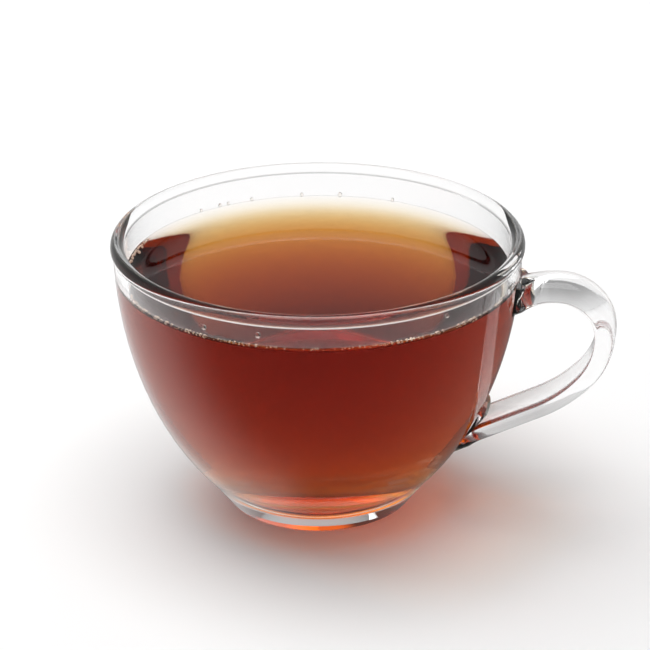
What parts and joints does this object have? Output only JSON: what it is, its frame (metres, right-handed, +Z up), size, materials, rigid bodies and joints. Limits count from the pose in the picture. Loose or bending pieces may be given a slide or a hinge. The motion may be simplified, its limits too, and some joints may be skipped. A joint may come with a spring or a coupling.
{
  "type": "glass cup of black tea",
  "caption": "Wide clear glass tea cup with a rolled rim, a short foot and a loop handle, filled with red-brown black tea to a little below the rim.",
  "frame": {"origin": "on the cup's axis, at the centre of its foot, in the plane it stands on", "axes": "+Z up along the cup's axis, +X from the axis through the middle of the handle"},
  "size_m": [0.1164, 0.095, 0.0655],
  "materials": {
    "clear_glass": "clear pressed glass, fire-polished",
    "black_tea": "clear red-brown tea, darker where it is deep"
  },
  "bodies": {
    "root": {"glass_cup": "clear_glass", "tea": "black_tea"}
  },
  "joints": []
}
